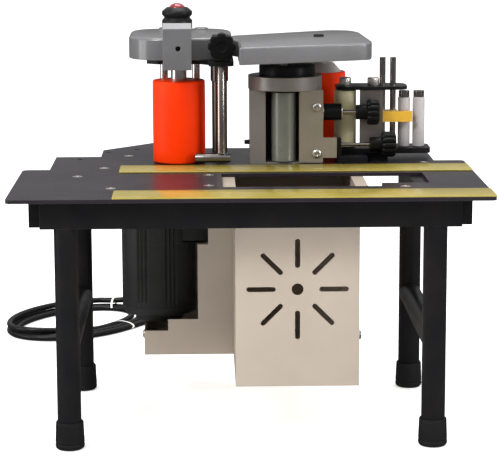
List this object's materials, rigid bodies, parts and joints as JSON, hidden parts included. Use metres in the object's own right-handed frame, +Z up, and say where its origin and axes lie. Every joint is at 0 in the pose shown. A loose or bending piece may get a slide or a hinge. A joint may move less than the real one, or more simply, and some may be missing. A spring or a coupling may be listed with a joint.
{
  "type": "edge banding machine",
  "caption": "Bench-top contour edge bander: slotted steel table on tube legs, driven orange feed roller under a cast head, glue pot, tape feed, under-table gear motor and coiled mains lead.",
  "frame": {"origin": "centre of the table's outline in plan, on the floor under the feet", "axes": "+X to the machine's right along the front edge of the table, +Y to its back, +Z up"},
  "size_m": [0.5714, 0.7339, 0.452],
  "materials": {
    "table_charcoal": "dark textured powder coat",
    "frame_black": "satin black powder coat",
    "foot_rubber": "matte black rubber",
    "enclosure_grey": "light warm grey paint on folded sheet",
    "casting_grey": "satin grey enamel on castings",
    "black_plate": "satin black",
    "motor_case": "dark grey paint",
    "motor_cap": "cast end cap",
    "stator_steel": "laminated core",
    "rotor_steel": "laminated core on a ground shaft",
    "bright_steel": "ground steel",
    "wheel_steel": "machined steel",
    "screw_steel": "blackened steel screws",
    "core_aluminium": "turned aluminium",
    "orange_silicone": "smooth orange silicone",
    "bush_bronze": "sintered bronze",
    "strip_amber": "glossy yellow low-friction strip",
    "pot_steel": "heat-browned steel",
    "glue_roller_steel": "steel roller filmed with glue",
    "heater_steel": "steel sheath",
    "collar_amber": "amber plastic",
    "knob_black": "moulded black plastic",
    "pinch_beige": "beige polyurethane",
    "nylon_white": "white nylon",
    "belt_rubber": "black belt rubber",
    "button_red": "glossy red plastic",
    "boot_rubber": "black rubber",
    "switch_plastic": "grey plastic",
    "cord_pvc": "black PVC cord",
    "plug_pvc": "moulded black plug"
  },
  "bodies": {
    "base": {"button_boot": "boot_rubber", "cord_coil": "cord_pvc", "cord_lead": "cord_pvc", "drive_belts": "belt_rubber", "drive_plate": "black_plate", "front_enclosure": "enclosure_grey", "front_left_leg": "frame_black", "front_rail": "frame_black", "front_right_leg": "frame_black", "front_wear_strip": "strip_amber", "gearhead_case": "motor_case", "glue_heater": "heater_steel", "glue_pot": "pot_steel", "guide_plate": "bright_steel", "left_brace": "frame_black", "left_side_rail": "frame_black", "machine_screws": "screw_steel", "mains_plug": "plug_pvc", "motor_end_cap": "motor_cap", "motor_shell": "motor_case", "motor_stator": "stator_steel", "pot_front_plate": "pot_steel", "pot_lid": "black_plate", "rear_left_leg": "frame_black", "rear_right_leg": "frame_black", "rear_wear_strip": "strip_amber", "right_brace": "frame_black", "right_side_rail": "frame_black", "rubber_feet": "foot_rubber", "screw_collar": "knob_black", "shaft_bushes": "bush_bronze", "side_enclosure": "enclosure_grey", "strain_relief": "cord_pvc", "support_posts": "bright_steel", "switch_body": "switch_plastic", "switch_box": "casting_grey", "table_plate": "table_charcoal", "tape_base": "black_plate", "tape_rods": "bright_steel", "tape_top_plate": "black_plate", "top_cover": "casting_grey", "top_housing": "casting_grey"},
    "feed": {"feed_shaft": "bright_steel", "feed_wheels": "wheel_steel", "feed_roller_core": "core_aluminium", "feed_roller_sleeve": "orange_silicone"},
    "rotor": {"motor_rotor": "rotor_steel"},
    "glue": {"glue_roller": "glue_roller_steel"},
    "rear": {"rear_roller_core": "core_aluminium", "rear_roller_sleeve": "orange_silicone"},
    "pinch": {"pinch_roller": "pinch_beige"},
    "left_guide": {"left_guide_roller": "nylon_white"},
    "right_guide": {"right_guide_roller": "nylon_white"},
    "hold_down": {"hold_down_rod": "bright_steel", "foot_bar": "bright_steel"},
    "knob": {"star_knob": "knob_black"},
    "button": {"button_cap": "button_red"},
    "pressure": {"pressure_screw": "knob_black"},
    "height": {"height_screw": "knob_black"},
    "clamp": {"yellow_clamp": "collar_amber"}
  },
  "joints": [
    {"name": "feed_spin", "type": "hinge", "parent": "base", "child": "feed", "pos_m": [-0.076, 0.053, 0.3], "axis": [0, 0, 1], "continuous": true},
    {"name": "rotor_spin", "type": "hinge", "parent": "base", "child": "rotor", "pos_m": [-0.1005, 0.053, 0.15], "axis": [0, 0, 1], "continuous": true},
    {"name": "glue_roller_spin", "type": "hinge", "parent": "base", "child": "glue", "pos_m": [0.043, 0.038, 0.3], "axis": [0, 0, 1], "continuous": true},
    {"name": "rear_roller_spin", "type": "hinge", "parent": "base", "child": "rear", "pos_m": [0.091, 0.147, 0.3], "axis": [0, 0, 1], "continuous": true},
    {"name": "pinch_roller_spin", "type": "hinge", "parent": "base", "child": "pinch", "pos_m": [0.115, 0.069, 0.3], "axis": [0, 0, 1], "continuous": true},
    {"name": "left_guide_spin", "type": "hinge", "parent": "base", "child": "left_guide", "pos_m": [0.183, 0.07, 0.3], "axis": [0, 0, 1], "continuous": true},
    {"name": "right_guide_spin", "type": "hinge", "parent": "base", "child": "right_guide", "pos_m": [0.2, 0.07, 0.3], "axis": [0, 0, 1], "continuous": true},
    {"name": "hold_down_slide", "type": "slide", "parent": "base", "child": "hold_down", "axis": [0, 0, 1], "range_m": [0, 0.05]},
    {"name": "star_knob_turn", "type": "hinge", "parent": "base", "child": "knob", "pos_m": [-0.028, 0.004, 0.406], "axis": [0, 1, 0], "range_deg": [-180, 180]},
    {"name": "button_press", "type": "slide", "parent": "base", "child": "button", "axis": [0, 0, -1], "range_m": [0, 0.003], "stiffness_N_per_m": 300, "springref_m": -0.002},
    {"name": "pressure_screw_turn", "type": "hinge", "parent": "base", "child": "pressure", "pos_m": [0.1, 0.038, 0.328], "axis": [1, 0, 0], "range_deg": [-360, 360]},
    {"name": "height_screw_turn", "type": "hinge", "parent": "base", "child": "height", "pos_m": [0.12, 0.038, 0.291], "axis": [1, 0, 0], "range_deg": [-360, 360]},
    {"name": "clamp_slide", "type": "slide", "parent": "base", "child": "clamp", "axis": [0, 0, 1], "range_m": [-0.015, 0.02]}
  ],
  "couplings": [
    {"joint": "rotor_spin", "follows": "feed_spin", "ratio": -4},
    {"joint": "glue_roller_spin", "follows": "feed_spin", "ratio": 1},
    {"joint": "rear_roller_spin", "follows": "feed_spin", "ratio": 1}
  ]
}
